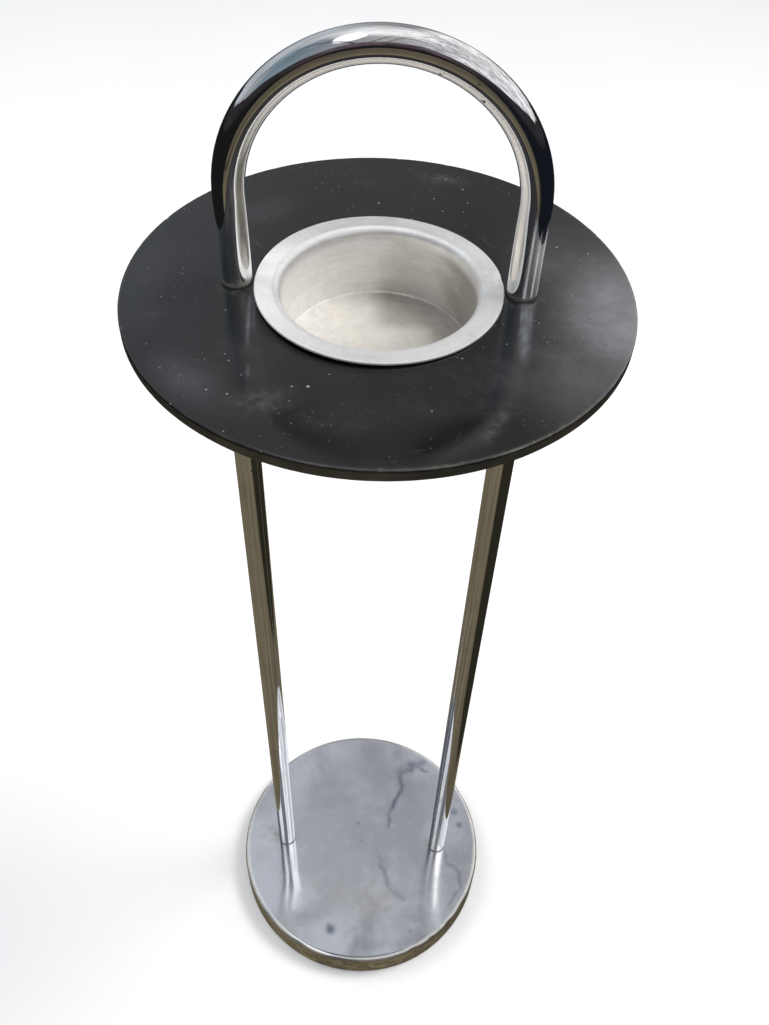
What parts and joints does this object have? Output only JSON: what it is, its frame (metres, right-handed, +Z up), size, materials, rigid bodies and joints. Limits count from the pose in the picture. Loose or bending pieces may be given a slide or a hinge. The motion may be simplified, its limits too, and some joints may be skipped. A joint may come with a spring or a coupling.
{
  "type": "floor-standing ash stand",
  "caption": "Floor-standing ash stand: a heavy chromed round foot, tube legs, a round black table with a lift-out spun metal ash bowl, and an arched tube handle.",
  "frame": {"origin": "centre of the foot's underside, on the floor", "axes": "+Z up; the legs and the handle lie in the XZ plane; the user stands on the -Y side"},
  "size_m": [0.262, 0.262, 0.8394],
  "materials": {
    "chrome_foot": "polished",
    "chrome_tube": "polished",
    "cast_weight": "as cast",
    "pad_rubber": "matt",
    "zinc_fasteners": "zinc plated",
    "plug_steel": "turned",
    "flange_steel": "plain",
    "table_black": "satin, worn",
    "foot_washer": "fibre",
    "bowl_aluminium": "spun, tarnished"
  },
  "bodies": {
    "stand": {"base_cover": "chrome_foot", "base_weight": "cast_weight", "base_pad": "pad_rubber", "base_bolts": "zinc_fasteners", "base_bolt_washers": "zinc_fasteners", "leg_left": "chrome_tube", "leg_right": "chrome_tube", "leg_bottom_plug_left": "plug_steel", "leg_bottom_plug_right": "plug_steel", "leg_top_plug_left": "plug_steel", "leg_top_plug_right": "plug_steel", "leg_flange_left": "flange_steel", "leg_flange_right": "flange_steel", "leg_flange_screws": "zinc_fasteners", "leg_top_screws": "zinc_fasteners", "table_top": "table_black", "handle_hoop": "chrome_tube", "hoop_plug_left": "plug_steel", "hoop_plug_right": "plug_steel", "hoop_foot_washers": "foot_washer", "hoop_screws": "zinc_fasteners"},
    "bowl": {"ash_bowl": "bowl_aluminium"}
  },
  "joints": [
    {"name": "bowl_lift", "type": "slide", "parent": "stand", "child": "bowl", "axis": [0, 0, 1], "range_m": [0, 0.05]}
  ]
}
